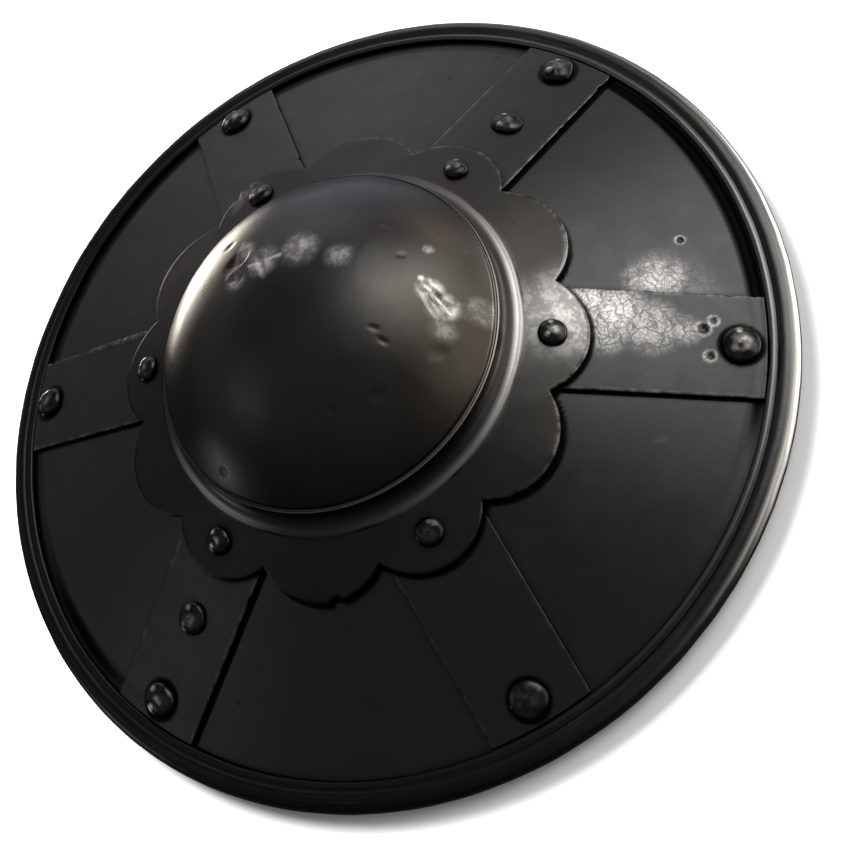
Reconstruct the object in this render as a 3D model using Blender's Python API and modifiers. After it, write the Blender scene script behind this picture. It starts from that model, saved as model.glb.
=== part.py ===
"""A round steel buckler lying face up: a shallow cone of sheet with a hollow bound rim, six radial
straps, and a domed boss whose flange is cut into twelve petals. A riveted grip crosses the back.

Metres, +Z up. The origin is on the surface that the rim lies on, under the middle of the boss.
"""
import math

import bmesh
import bpy
from mathutils import Matrix, Vector

MM = 0.001

# The whole shield
SHIELD_RADIUS = 175.0 * MM
CONE_ANGLE = math.radians(19.35)
SEGMENTS = 48
SHEET_GAP = 0.3 * MM

# The rim binding: an open tube whose two lips close on the edge of the disc
ROLL_RADIUS = 6.0 * MM
ROLL_WALL = 1.3 * MM
ROLL_FLAT = 3.0 * MM
LIP_REACH = 5.4 * MM
LIP_SHOULDER = 3.4 * MM
LIP_DROP = 0.55 * MM
LIP_START = math.radians(100)
BACK_LIP = math.radians(167)

# The disc
DISC_THICKNESS = 1.4 * MM
DISC_EDGE_DEPTH = 3.0 * MM
HAND_HOLE_INSET = 1.6 * MM

# The boss
BOSS_WALL = 1.8 * MM
DOME_RADIUS = 71.4 * MM
DOME_HEIGHT = 35.6 * MM
DOME_LIP = 0.6 * MM
DOME_LIP_HEIGHT = 0.9 * MM
NECK_FLARE = 5.2 * MM
NECK_HEIGHT = 10.0 * MM
NECK_PULL = 0.25
FLANGE_WIDTH = 13.6 * MM
FLANGE_LIFT = math.radians(2)
PETAL_DEPTH = 10.8 * MM
RIVETED_PETAL_HALF_ANGLE = math.radians(14.6)
NOTCH_RADIUS = 2.4 * MM
NOTCH_ANGLE = math.radians(303.5)

# The straps
STRAP_COUNT = 6
FIRST_STRAP_ANGLE = math.radians(30)
STRAP_WIDTH = 41.8 * MM
STRAP_THICKNESS = 1.5 * MM
STRAP_TUCK = 9.7 * MM
STRAP_END_GAP = 0.4 * MM

# The rivets
PETAL_HEAD_RADIUS = 5.75 * MM
PETAL_HEAD_HEIGHT = 3.0 * MM
PETAL_RIVET_INSET = 2.2 * MM
GRIP_HEAD_RADIUS = 6.9 * MM
GRIP_HEAD_HEIGHT = 3.2 * MM
# Share of the open strap, from the petals out to the rim rivet, at which the grip rivet stands
GRIP_RIVET_SHARE = 18.4 / 53.0
RIM_HEAD_RADIUS = 7.7 * MM
RIM_HEAD_HEIGHT = 3.8 * MM
RIM_RIVET_INSET = 21.0 * MM
SHANK_RADIUS = 2.6 * MM
SHANK_CLEARANCE = 0.3 * MM
BACK_HEAD_RADIUS = 4.6 * MM
BACK_HEAD_HEIGHT = 1.8 * MM
BACK_HEAD_GAP = 0.45 * MM
PEEN_WIDTH = 0.7
PEEN_FALL = 0.75
RIVET_SEGMENTS = 12
HOLE_SEGMENTS = 8

# The grip: a steel bar through a wooden handle
GRIP_BAR_WIDTH = 18.0 * MM
GRIP_BAR_THICKNESS = 3.0 * MM
GRIP_BAR_GAP = 0.6 * MM
GRIP_TAB_REACH = 11.0 * MM
HANDLE_END_ROOM = 17.0 * MM
HANDLE_SIDE = 6.5 * MM
HANDLE_PALM = 10.0 * MM
HANDLE_TAPER = 0.82
HANDLE_SLOT_GAP = 0.3 * MM
HANDLE_SEGMENTS = 16

# What the sizes above fix
COS = math.cos(CONE_ANGLE)
TAN = math.tan(CONE_ANGLE)
STRAP_STEP = 2 * math.pi / STRAP_COUNT
ROLL_CENTRE = (SHIELD_RADIUS - ROLL_RADIUS,
               math.sqrt(ROLL_RADIUS ** 2 - (ROLL_FLAT / 2) ** 2))
LIP_RADIUS = ROLL_CENTRE[0] - LIP_REACH
LIP_HEIGHT = ROLL_CENTRE[1] + ROLL_RADIUS - LIP_DROP
JOIN_HEIGHT = LIP_HEIGHT - ROLL_WALL - SHEET_GAP / COS
STRAP_END_RADIUS = LIP_RADIUS - STRAP_END_GAP
OVER_STRAP = SHEET_GAP + STRAP_THICKNESS
OVER_FLANGE = OVER_STRAP + SHEET_GAP + BOSS_WALL
FLANGE_ANGLE = CONE_ANGLE + FLANGE_LIFT
NECK_RADIUS = DOME_RADIUS + NECK_FLARE
HAND_HOLE_RADIUS = NECK_RADIUS - HAND_HOLE_INSET
CUSP_RADIUS = NECK_RADIUS + FLANGE_WIDTH
PETAL_REACH = CUSP_RADIUS + PETAL_DEPTH
PLAIN_PETAL_HALF_ANGLE = STRAP_STEP / 2 - RIVETED_PETAL_HALF_ANGLE
PETAL_RIVET_RADIUS = CUSP_RADIUS - PETAL_RIVET_INSET
RIM_RIVET_RADIUS = SHIELD_RADIUS - RIM_RIVET_INSET
GRIP_RIVET_RADIUS = PETAL_REACH + GRIP_RIVET_SHARE * (RIM_RIVET_RADIUS - PETAL_REACH)
HANDLE_LENGTH = 2 * (HAND_HOLE_RADIUS - HANDLE_END_ROOM)
HANDLE_WIDTH = GRIP_BAR_WIDTH + 2 * HANDLE_SIDE
HANDLE_DEPTH = GRIP_BAR_THICKNESS + 2 * HANDLE_PALM

# Straps are lettered a to f, and the grip is riveted through b and e
LETTERS = "abcdef"
GRIP_LETTERS = "be"
GRIP_ANGLE = FIRST_STRAP_ANGLE + STRAP_STEP

# Flats on the round parts of a section
DOME_STEPS = 8
DOME_INSIDE_STEPS = 6
NECK_STEPS = 3
NECK_INSIDE_STEPS = 2
PETAL_STEPS = 7
HEAD_STEPS = 3
HANDLE_STEPS = 6
ROLL_STEPS = (4, 3, 4, 7)

# Cutters run well past what they cut
FAR_BELOW = -20 * MM
FAR_ABOVE = 200 * MM
HOLE_REACH = 16 * MM


def disc_top(radius):
    """Height of the disc's upper face at this distance from the middle."""
    return JOIN_HEIGHT + (LIP_RADIUS - radius) * TAN


def over_disc(radius, lift):
    """Height of a face that lies this far above the disc's upper face, square to it."""
    return disc_top(radius) + lift / COS


def flange_top(radius):
    """The flange is a little steeper than the disc and comes down to the straps at its tips."""
    return over_disc(PETAL_REACH, OVER_FLANGE) + (PETAL_REACH - radius) * math.tan(FLANGE_ANGLE)


def strap_angle(letter):
    return FIRST_STRAP_ANGLE + LETTERS.index(letter) * STRAP_STEP


def arc(centre, radius, start, end, steps):
    """Points along an arc, both ends included."""
    angles = [start + (end - start) * i / steps for i in range(steps + 1)]
    return [(centre[0] + radius * math.cos(a), centre[1] + radius * math.sin(a)) for a in angles]


def clear_scene():
    for old in list(bpy.data.objects):
        bpy.data.objects.remove(old, do_unlink=True)


def new_collection(name):
    group = bpy.data.collections.new(name)
    bpy.context.scene.collection.children.link(group)
    return group


def new_material(name, colour, roughness, metallic):
    finish = bpy.data.materials.new(name)
    finish.use_nodes = True
    shader = finish.node_tree.nodes["Principled BSDF"]
    shader.inputs["Base Color"].default_value = (*colour, 1.0)
    shader.inputs["Roughness"].default_value = roughness
    shader.inputs["Metallic"].default_value = metallic
    return finish


def add_object(name, mesh, group, finish=None):
    item = bpy.data.objects.new(name, mesh)
    group.objects.link(item)
    if finish:
        mesh.materials.append(finish)
    return item


def turned(name, profile, closed, group, finish, steps=SEGMENTS):
    """A profile of (radius, height) points turned about the Z axis."""
    mesh = bpy.data.meshes.new(name)
    edges = [(i, i + 1) for i in range(len(profile) - 1)]
    if closed:
        edges.append((len(profile) - 1, 0))
    mesh.from_pydata([(radius, 0.0, height) for radius, height in profile], edges, [])
    item = add_object(name, mesh, group, finish)
    screw = item.modifiers.new("Turn", "SCREW")
    screw.steps = steps
    screw.render_steps = steps
    screw.use_merge_vertices = True
    screw.merge_threshold = 0.00001
    return item


def prism(name, outline, low, high, group, finish=None):
    """A flat closed outline raised between two heights."""
    mesh = bpy.data.meshes.new(name)
    shape = bmesh.new()
    base = shape.faces.new([shape.verts.new((x, y, low)) for x, y in outline])
    raised = bmesh.ops.extrude_face_region(shape, geom=[base])
    top = [v for v in raised["geom"] if isinstance(v, bmesh.types.BMVert)]
    bmesh.ops.translate(shape, verts=top, vec=(0, 0, high - low))
    bmesh.ops.recalc_face_normals(shape, faces=shape.faces)
    shape.to_mesh(mesh)
    shape.free()
    return add_object(name, mesh, group, finish)


def cylinder(name, radius, low, high, group, steps):
    mesh = bpy.data.meshes.new(name)
    shape = bmesh.new()
    half_step = Matrix.Rotation(math.pi / steps, 4, "Z")
    middle = Matrix.Translation((0, 0, (high + low) / 2)) @ half_step
    bmesh.ops.create_cone(shape, cap_ends=True, segments=steps, radius1=radius, radius2=radius,
                          depth=high - low, matrix=middle)
    shape.to_mesh(mesh)
    shape.free()
    return add_object(name, mesh, group)


def cut(item, tool, operation="DIFFERENCE"):
    step = item.modifiers.new(tool.name, "BOOLEAN")
    step.operation = operation
    step.object = tool
    step.solver = "EXACT"
    tool.hide_render = True
    tool.display_type = "WIRE"


def rim_profile():
    """The binding's section: along the front lip, over the outside to the back lip, then inside."""
    shoulder = ROLL_CENTRE[0] - LIP_SHOULDER
    shoulder_height = ROLL_CENTRE[1] + ROLL_RADIUS * math.sin(LIP_START)
    flat = math.asin(ROLL_FLAT / 2 / ROLL_RADIUS)
    down = -math.pi / 2
    back = BACK_LIP - 2 * math.pi
    outside = [(LIP_RADIUS, LIP_HEIGHT), (shoulder, shoulder_height)]
    upper, lower, under, within = ROLL_STEPS
    outside += arc(ROLL_CENTRE, ROLL_RADIUS, LIP_START, 0.0, upper)
    outside += arc(ROLL_CENTRE, ROLL_RADIUS, 0.0, down + flat, lower)[1:]
    outside += arc(ROLL_CENTRE, ROLL_RADIUS, down - flat, back, under)
    inside = arc(ROLL_CENTRE, ROLL_RADIUS - ROLL_WALL, back, LIP_START, within)
    inside += [(shoulder, shoulder_height - ROLL_WALL), (LIP_RADIUS, LIP_HEIGHT - ROLL_WALL)]
    return outside + inside


def sheet_profile(inner, outer, low, high):
    """The section of a sheet on the slope of the cone, between two lifts from the disc's face."""
    top = [(radius, over_disc(radius, high)) for radius in (inner, outer)]
    under = [(radius, over_disc(radius, low)) for radius in (outer, inner)]
    return top + under


def dome_arc(foot, height, steps):
    """A spherical cap's section, from its pole to its foot."""
    radius = (foot[0] ** 2 + height ** 2) / (2 * height)
    centre = (0.0, foot[1] + height - radius)
    end = math.atan2(foot[1] - centre[1], foot[0])
    return [(0.0, foot[1] + height)] + arc(centre, radius, math.pi / 2, end, steps)[1:]


def flare(start, end, steps):
    """The hollow curve of the neck, steep under the dome and easing out to the flange."""
    pull = (start[0] + (end[0] - start[0]) * NECK_PULL, end[1] + (start[1] - end[1]) * NECK_PULL)
    points = []
    for i in range(1, steps + 1):
        t = i / steps
        weights = ((1 - t) ** 2, 2 * t * (1 - t), t ** 2)
        corners = (start, pull, end)
        points.append(tuple(sum(w * c[k] for w, c in zip(weights, corners)) for k in (0, 1)))
    return points


def boss_profile():
    """Dome, lip, neck and flange from the pole down, then the inside of the same wall back up."""
    ring = (NECK_RADIUS, flange_top(NECK_RADIUS))
    foot = (DOME_RADIUS, ring[1] + NECK_HEIGHT)
    neck = (foot[0] - DOME_LIP, foot[1] - DOME_LIP_HEIGHT)
    past = PETAL_REACH + BOSS_WALL
    drop = BOSS_WALL / math.cos(FLANGE_ANGLE)
    outside = dome_arc(foot, DOME_HEIGHT, DOME_STEPS) + [neck] + flare(neck, ring, NECK_STEPS)
    outside += [(past, flange_top(past)), (past, flange_top(past) - drop)]
    inner_neck = (neck[0] - BOSS_WALL, neck[1])
    inner_ring = (ring[0] - BOSS_WALL * math.sin(FLANGE_ANGLE),
                  ring[1] - BOSS_WALL * math.cos(FLANGE_ANGLE))
    inside = dome_arc(inner_neck, DOME_HEIGHT + DOME_LIP_HEIGHT - BOSS_WALL, DOME_INSIDE_STEPS)
    inside += flare(inner_neck, inner_ring, NECK_INSIDE_STEPS)
    return outside + inside[::-1]


def petal_arc(angle, half_angle, steps):
    """One round petal, from cusp to cusp, with the last cusp left to the next petal."""
    along = CUSP_RADIUS * math.cos(half_angle)
    aside = CUSP_RADIUS * math.sin(half_angle)
    depth = PETAL_REACH - along
    radius = (aside ** 2 + depth ** 2) / (2 * depth)
    centre = PETAL_REACH - radius
    swing = math.atan2(aside, along - centre)
    turn = Matrix.Rotation(angle, 2)
    return [tuple(turn @ Vector(p)) for p in arc((centre, 0.0), radius, -swing, swing, steps)[:-1]]


def petal_outline():
    outline = []
    for letter in LETTERS:
        angle = strap_angle(letter)
        outline += petal_arc(angle, RIVETED_PETAL_HALF_ANGLE, PETAL_STEPS)
        outline += petal_arc(angle + STRAP_STEP / 2, PLAIN_PETAL_HALF_ANGLE, PETAL_STEPS)
    return outline


def rivet_profile(head_radius, head_height, grip):
    """Domed head, shank and peened end from the top down. Zero is the face under the head."""
    ball = (head_radius ** 2 + head_height ** 2) / (2 * head_height)
    rise = SHEET_GAP + head_height
    low = math.asin((ball - head_height) / ball)
    head = [(0.0, rise)] + arc((0.0, rise - ball), ball, math.pi / 2, low, HEAD_STEPS)[1:]
    back = -grip - BACK_HEAD_GAP
    tail = [(SHANK_RADIUS, SHEET_GAP), (SHANK_RADIUS, back), (BACK_HEAD_RADIUS, back),
            (BACK_HEAD_RADIUS * PEEN_WIDTH, back - BACK_HEAD_HEIGHT * PEEN_FALL),
            (0.0, back - BACK_HEAD_HEIGHT)]
    return head + tail


def handle_profile(steps):
    """A barrel with flat ends, full in the middle, standing on the Z axis."""
    points = []
    for i in range(steps + 1):
        t = 1 - 2 * i / steps
        fullness = HANDLE_TAPER + (1 - HANDLE_TAPER) * (1 - t ** 2)
        points.append((HANDLE_WIDTH / 2 * fullness, HANDLE_LENGTH / 2 * t))
    return [(0.0, HANDLE_LENGTH / 2)] + points + [(0.0, -HANDLE_LENGTH / 2)]


def build_straps(group, cutters, finish):
    straps = {}
    section = sheet_profile(NECK_RADIUS + FLANGE_WIDTH - STRAP_TUCK, STRAP_END_RADIUS,
                            SHEET_GAP, OVER_STRAP)
    half = STRAP_WIDTH / 2
    bar = [(0.0, -half), (SHIELD_RADIUS, -half), (SHIELD_RADIUS, half), (0.0, half)]
    for letter in LETTERS:
        strap = turned("strap_" + letter, section, True, group, finish)
        blank = prism("strap_blank_" + letter, bar, FAR_BELOW, FAR_ABOVE, cutters)
        blank.rotation_euler.z = strap_angle(letter)
        cut(strap, blank, "INTERSECT")
        straps[letter] = strap
    return straps


def build_boss(group, cutters, finish):
    """The flange is cut to its petals, and one plain petal has lost a chip from its tip."""
    boss = turned("boss", boss_profile(), False, group, finish)
    cut(boss, prism("petal_blank", petal_outline(), FAR_BELOW, FAR_ABOVE, cutters), "INTERSECT")
    chip = cylinder("chip", NOTCH_RADIUS, FAR_BELOW, FAR_ABOVE, cutters, 8)
    chip.location = (PETAL_REACH * math.cos(NOTCH_ANGLE), PETAL_REACH * math.sin(NOTCH_ANGLE), 0)
    cut(boss, chip)
    return boss


def build_grip_bar(group, finish):
    """The bar crosses the back under the disc, and its two ends follow the slope of the cone."""
    lift = -DISC_THICKNESS - GRIP_BAR_GAP
    bend = GRIP_RIVET_RADIUS - GRIP_TAB_REACH
    end = GRIP_RIVET_RADIUS + GRIP_TAB_REACH
    top = [(-end, over_disc(end, lift)), (-bend, over_disc(bend, lift)),
           (bend, over_disc(bend, lift)), (end, over_disc(end, lift))]
    depths = (GRIP_BAR_THICKNESS / COS, GRIP_BAR_THICKNESS)
    under = [(x, z - depths[abs(x) < end]) for x, z in reversed(top)]
    half = GRIP_BAR_WIDTH / 2
    bar = prism("grip_bar", top + under, -half, half, group, finish)
    bar.matrix_world = Matrix.Rotation(GRIP_ANGLE, 4, "Z") @ Matrix.Rotation(math.pi / 2, 4, "X")
    return bar, top[1][1] - GRIP_BAR_THICKNESS / 2


def build_grip_handle(group, cutters, finish, height):
    """The handle is oval in section and is slotted from end to end for the bar."""
    handle = turned("grip_handle", handle_profile(HANDLE_STEPS), False, group, finish,
                    HANDLE_SEGMENTS)
    lay = Matrix.Rotation(GRIP_ANGLE, 4, "Z") @ Matrix.Rotation(math.pi / 2, 4, "Y")
    flatten = Matrix.Diagonal((HANDLE_DEPTH / HANDLE_WIDTH, 1, 1, 1))
    handle.matrix_world = Matrix.Translation((0, 0, height)) @ lay @ flatten
    aside = GRIP_BAR_WIDTH / 2 + HANDLE_SLOT_GAP
    high = GRIP_BAR_THICKNESS / 2 + HANDLE_SLOT_GAP
    outline = [(-HANDLE_LENGTH, -aside), (HANDLE_LENGTH, -aside),
               (HANDLE_LENGTH, aside), (-HANDLE_LENGTH, aside)]
    slot = prism("handle_slot", outline, height - high, height + high, cutters)
    slot.rotation_euler.z = GRIP_ANGLE
    cut(handle, slot)


def build_rivet(name, place, head, held, group, cutters, finish):
    """A rivet square to what its head sits on, and a clearance hole through each piece it holds."""
    radius, height, slope, angle, grip = place
    seat = Matrix.Translation((radius * math.cos(angle), radius * math.sin(angle), height))
    seat = seat @ Matrix.Rotation(angle, 4, "Z") @ Matrix.Rotation(slope, 4, "Y")
    rivet = turned(name, rivet_profile(*head, grip), False, group, finish, RIVET_SEGMENTS)
    rivet.matrix_world = seat
    hole = cylinder("hole_" + name, SHANK_RADIUS + SHANK_CLEARANCE, -HOLE_REACH, HOLE_REACH,
                    cutters, HOLE_SEGMENTS)
    hole.matrix_world = seat
    for piece in held:
        cut(piece, hole)


def build_rivets(group, cutters, finish, disc, straps, boss, grip_bar):
    stack = OVER_STRAP + DISC_THICKNESS
    petal_seat = flange_top(PETAL_RIVET_RADIUS)
    petal_stack = (petal_seat - over_disc(PETAL_RIVET_RADIUS, -DISC_THICKNESS)) * COS
    petal_head = (PETAL_HEAD_RADIUS, PETAL_HEAD_HEIGHT)
    grip_head = (GRIP_HEAD_RADIUS, GRIP_HEAD_HEIGHT)
    rim_head = (RIM_HEAD_RADIUS, RIM_HEAD_HEIGHT)
    for letter in LETTERS:
        angle = strap_angle(letter)
        strap = straps[letter]
        build_rivet("rivet_petal_" + letter,
                    (PETAL_RIVET_RADIUS, petal_seat, FLANGE_ANGLE, angle, petal_stack),
                    petal_head, (disc, strap, boss), group, cutters, finish)
        build_rivet("rivet_rim_" + letter,
                    (RIM_RIVET_RADIUS, over_disc(RIM_RIVET_RADIUS, OVER_STRAP), CONE_ANGLE,
                     angle, stack),
                    rim_head, (disc, strap), group, cutters, finish)
        if letter in GRIP_LETTERS:
            build_rivet("rivet_grip_" + letter,
                        (GRIP_RIVET_RADIUS, over_disc(GRIP_RIVET_RADIUS, OVER_STRAP), CONE_ANGLE,
                         angle, stack + GRIP_BAR_GAP + GRIP_BAR_THICKNESS),
                        grip_head, (disc, strap, grip_bar), group, cutters, finish)


def main():
    clear_scene()
    group = new_collection("buckler")
    cutters = new_collection("cutters")
    sheet_steel = new_material("blackened sheet steel", (0.045, 0.044, 0.043), 0.42, 1.0)
    strap_steel = new_material("blackened strap steel", (0.05, 0.049, 0.047), 0.4, 1.0)
    rim_steel = new_material("dark polished rim steel", (0.09, 0.088, 0.085), 0.28, 1.0)
    boss_steel = new_material("dark raised boss steel", (0.075, 0.07, 0.064), 0.32, 1.0)
    rivet_steel = new_material("burnished rivet steel", (0.1, 0.098, 0.094), 0.3, 1.0)
    bar_steel = new_material("blackened bar steel", (0.05, 0.049, 0.047), 0.45, 1.0)
    wood = new_material("dark oiled ash", (0.09, 0.05, 0.028), 0.55, 0.0)

    turned("rim_binding", rim_profile(), True, group, rim_steel)
    disc = turned("disc", sheet_profile(HAND_HOLE_RADIUS, LIP_RADIUS + DISC_EDGE_DEPTH,
                                        -DISC_THICKNESS, 0.0), True, group, sheet_steel)
    straps = build_straps(group, cutters, strap_steel)
    boss = build_boss(group, cutters, boss_steel)
    grip_bar, grip_height = build_grip_bar(group, bar_steel)
    build_grip_handle(group, cutters, wood, grip_height)
    build_rivets(group, cutters, rivet_steel, disc, straps, boss, grip_bar)


main()
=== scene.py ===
"""A blackened steel buckler lying face up on a pale floor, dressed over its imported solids."""
import math
from collections import namedtuple

import bmesh
import bpy
from mathutils import Matrix, Vector, noise


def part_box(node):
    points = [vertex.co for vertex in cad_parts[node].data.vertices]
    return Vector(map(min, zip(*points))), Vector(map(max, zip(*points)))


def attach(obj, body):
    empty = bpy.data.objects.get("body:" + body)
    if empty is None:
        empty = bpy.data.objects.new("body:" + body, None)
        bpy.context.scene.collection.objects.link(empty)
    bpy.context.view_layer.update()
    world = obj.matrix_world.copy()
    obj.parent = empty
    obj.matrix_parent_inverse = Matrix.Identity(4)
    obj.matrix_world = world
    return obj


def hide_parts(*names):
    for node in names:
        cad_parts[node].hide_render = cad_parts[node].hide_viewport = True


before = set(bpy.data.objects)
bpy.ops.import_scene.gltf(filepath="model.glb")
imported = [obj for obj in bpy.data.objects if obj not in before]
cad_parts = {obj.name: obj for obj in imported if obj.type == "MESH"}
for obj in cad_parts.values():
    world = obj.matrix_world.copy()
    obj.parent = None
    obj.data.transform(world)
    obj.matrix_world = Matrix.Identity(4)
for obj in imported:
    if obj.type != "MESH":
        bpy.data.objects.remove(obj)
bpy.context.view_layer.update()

MM = 0.001
TURN = 2 * math.pi

# The shield, as the solids have it
SHIELD_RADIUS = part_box("rim_binding")[1].x
CONE_ANGLE = math.radians(19.35)
SHEET_GAP = 0.3 * MM
DISC_WALL = 1.4 * MM
STRAP_WALL = 1.5 * MM
BOSS_WALL = 1.8 * MM
FIRST_STRAP_ANGLE = math.radians(30)
STRAP_STEP = TURN / 6
LETTERS = "abcdef"
GRIP_LETTERS = "be"

# The rim binding
ROLL_RADIUS = 6.0 * MM
ROLL_WALL = 1.3 * MM
ROLL_FLAT = 3.0 * MM
LIP_REACH = 5.4 * MM
LIP_DROP = 0.55 * MM
LIP_START = math.radians(98)
BACK_LIP = math.radians(167)
ROLL_CENTRE = (SHIELD_RADIUS - ROLL_RADIUS, math.sqrt(ROLL_RADIUS ** 2 - (ROLL_FLAT / 2) ** 2))
LIP_RADIUS = ROLL_CENTRE[0] - LIP_REACH
LIP_HEIGHT = ROLL_CENTRE[1] + ROLL_RADIUS - LIP_DROP

# The boss
DOME_RADIUS = 71.4 * MM
DOME_HEIGHT = 35.6 * MM
NECK_HEIGHT = 10.0 * MM
NECK_RADIUS = 76.6 * MM
CUSP_RADIUS = 90.2 * MM
PETAL_REACH = 101.0 * MM
FLANGE_ANGLE = math.radians(21.35)
RIVETED_HALF_ANGLE = math.radians(14.6)
PLAIN_HALF_ANGLE = STRAP_STEP / 2 - RIVETED_HALF_ANGLE
CHIP_RADIUS = 2.4 * MM
CHIP_ANGLE = math.radians(303.5)

# How many steps each round piece is spun in
BOSS_STEPS = 450
RIM_STEPS = 400
DISC_STEPS = 360
HANDLE_STEPS = 48
RIVET_STEPS = 44
# Rows of points along the handle and down a rivet's head
HANDLE_ROWS = 30
HEAD_ROWS = 14

# The straps and the grip
STRAP_WIDTH = 41.8 * MM
STRAP_TUCK = 9.7 * MM
STRAP_END_GAP = 0.4 * MM
GRIP_BAR_WIDTH = 18.0 * MM
GRIP_BAR_WALL = 3.0 * MM
GRIP_BAR_GAP = 0.6 * MM
GRIP_TAB_REACH = 11.0 * MM

# The rivets, the last measure being the distance from the middle of the shield
Rivet = namedtuple("Rivet", "head_radius head_height reach")
PETAL_RIVET = Rivet(5.75 * MM, 3.0 * MM, 88.0 * MM)
GRIP_RIVET = Rivet(6.9 * MM, 3.2 * MM, 119.4 * MM)
RIM_RIVET = Rivet(7.7 * MM, 3.8 * MM, 154.0 * MM)
SHANK_RADIUS = 2.6 * MM
BACK_HEAD_RADIUS = 4.6 * MM
BACK_HEAD_HEIGHT = 1.8 * MM
BACK_HEAD_GAP = 0.45 * MM

# Pressed groove where the disc meets the rim: none at the lower right, shallow at the left, and
# only a share of it under the straps
GROOVE_DEPTH = 1.7 * MM
GROOVE_WIDTH = 7.0 * MM
GROOVE_UNDER_STRAP = 0.3
GROOVE_MISSING = math.radians(-40)
SHALLOW_SIDE = math.radians(165)

# The side of the rim that gets a painted sheen, and the side that gets painted shade
RIM_SHEEN_SIDE = math.radians(50)
RIM_SHADE_SIDE = math.radians(-115)
# Painted shadow lies beside the strap and petal edges that face this way, at most this wide
SHOWN_SIDE = math.radians(-13)
GAP_SHADE = 2.4 * MM

COS = math.cos(CONE_ANGLE)
TAN = math.tan(CONE_ANGLE)
JOIN_HEIGHT = LIP_HEIGHT - ROLL_WALL - SHEET_GAP / COS
OVER_STRAP = SHEET_GAP + STRAP_WALL
OVER_FLANGE = OVER_STRAP + SHEET_GAP + BOSS_WALL

# Damage on the dome: x, y, half length, half width, turn in degrees, depth, all in mm
DOME_DENTS = (
    (-34, 6, 8.0, 4.4, 70, 2.1), (-28, -1, 4.6, 3.4, 40, 1.2), (-46, 11, 4.0, 2.4, 60, 0.4),
    (-20, 8, 9.0, 2.2, -35, 0.7), (39, 31, 3.4, 2.6, -38, 0.9), (44.5, 29.7, 5.4, 2.2, -28, 1.1),
    (49.5, 28.0, 4.2, 2.4, -40, 0.9), (46, 24, 6.5, 1.6, -30, 0.5), (25, 37, 2.2, 1.6, 0, 0.4),
    (37, 53, 1.9, 1.4, 30, 0.35), (35, 7, 2.3, 1.7, 20, 0.4), (40, 4.6, 2.4, 1.6, -10, 0.45),
    (47.5, -13, 5.5, 3.0, 60, 0.5), (35.5, -26.5, 3.0, 2.0, 0, 0.4), (-1, -65, 3.4, 2.0, 0, 0.4),
    (-21, 39, 2.2, 1.8, 0, 0.35), (12, 46, 5.0, 3.0, 15, 0.3), (56, 12, 5.0, 3.4, 80, 0.4),
)
# Dents are pressed in towards the axis, at a point this far below each of them
PRESS_DROP = 65 * MM
# Rubbed places on the dome: x, y, reach and strength
DOME_MARKS = (
    (-33, 11, 6, 1.0), (-27, -2, 6, 0.8), (-20, 10, 9, 1.0), (-9, 20, 10, 0.7), (7, 25, 7, 0.5),
    (41, 31, 6, 1.0), (48, 28, 7, 1.0), (30, 45, 3, 0.7), (57, 35, 8, 0.35), (53, 20, 6, 0.3),
)
# Painted sheen round the upper right of the dome
DOME_SHEEN = Vector((42, 48)) * MM
DOME_SHEEN_REACH = 26 * MM
# One petal is torn and bent, and one is lit: marked metal with a painted highlight
TORN_PETAL = Vector((-88, 41)) * MM
TORN_REACH = 14 * MM
LIT_PETAL = Vector((77, 56)) * MM
LIT_PETAL_REACH = 26 * MM
# Bearings on the boss: the side made browner; the sides whose neck ridge and dome foot get a
# painted highlight; the side of the flange with least painted shade, and the petal with none;
# the side whose petal edges get a painted highlight; and the cusp with a painted highlight
BROWN_SIDE = math.radians(20)
NECK_SIDE = math.radians(30)
NECK_BACK = -100
FOOT_SIDE = math.radians(5)
UNSHADED_FLANGE_SIDE = math.radians(35)
UNSHADED_PETAL = 31
PETAL_EDGE_SIDE = math.radians(60)
BRIGHT_CUSP = 47
# Marked metal with a painted highlight where the light is mirrored on the disc, a wider painted
# sheen round it, and one pit and one scratch near it
GLARE_ON_DISC = Vector((93, 85)) * MM
GLARE_REACH = 15 * MM
DISC_SHEEN = Vector((102, 81)) * MM
DISC_SHEEN_REACH = 24 * MM
DISC_PIT = Vector((90.7, 104.7)) * MM
PIT_REACH = 1.7 * MM
PIT_DEPTH = 0.7 * MM
DISC_SCRATCH = (Vector((126.3, 27.8)) * MM, Vector((129.2, 29.7)) * MM)
# Marked metal with a painted highlight where the light is mirrored on the first strap: along and
# across it, reach in mm and strength
GLARE_ON_STRAP = (
    (100, 14, 12, 1.0), (110, 11, 15, 1.0), (122, 6, 14, 0.7), (106, 3, 12, 0.6), (134, 5, 8, 0.5),
)
# How far each strap is rubbed bright along its sides
EDGE_WEAR = {"a": 0.2, "b": 0.2, "c": 0.03, "d": 0.25, "e": 0.2, "f": 0.08}
# The fourth strap is torn along one side: where the tear grows, and where it dies out again
TORN_STRAP_START = (90 * MM, 97 * MM)
TORN_STRAP_END = (128 * MM, 137 * MM)
# Pits beside the first rim rivet: along and across its strap, reach and depth in mm
RIVET_PITS = ((140.5, 6.0, 2.6, 1.0), (143, -5, 2.0, 0.9), (144, 9.5, 1.8, 0.6))
# Fine scratches on the dome: from x, y to x, y, strength
DOME_SCRATCHES = (
    (-25, 6, -15, 15, 1.0), (36, 33, 51, 27, 0.8), (38, 29, 46, 24, 0.5), (-38, 14, -33, -2, 0.5),
)
SCRATCH_REACH = 1.3 * MM
SCRATCH_DEPTH = 0.12 * MM


def over_disc(radius, lift=0.0):
    """Height of a face that lies this far above the disc's upper face, square to it."""
    return JOIN_HEIGHT + (LIP_RADIUS - radius) * TAN + lift / COS


def flange_top(radius):
    return over_disc(PETAL_REACH, OVER_FLANGE) + (PETAL_REACH - radius) * math.tan(FLANGE_ANGLE)


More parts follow.
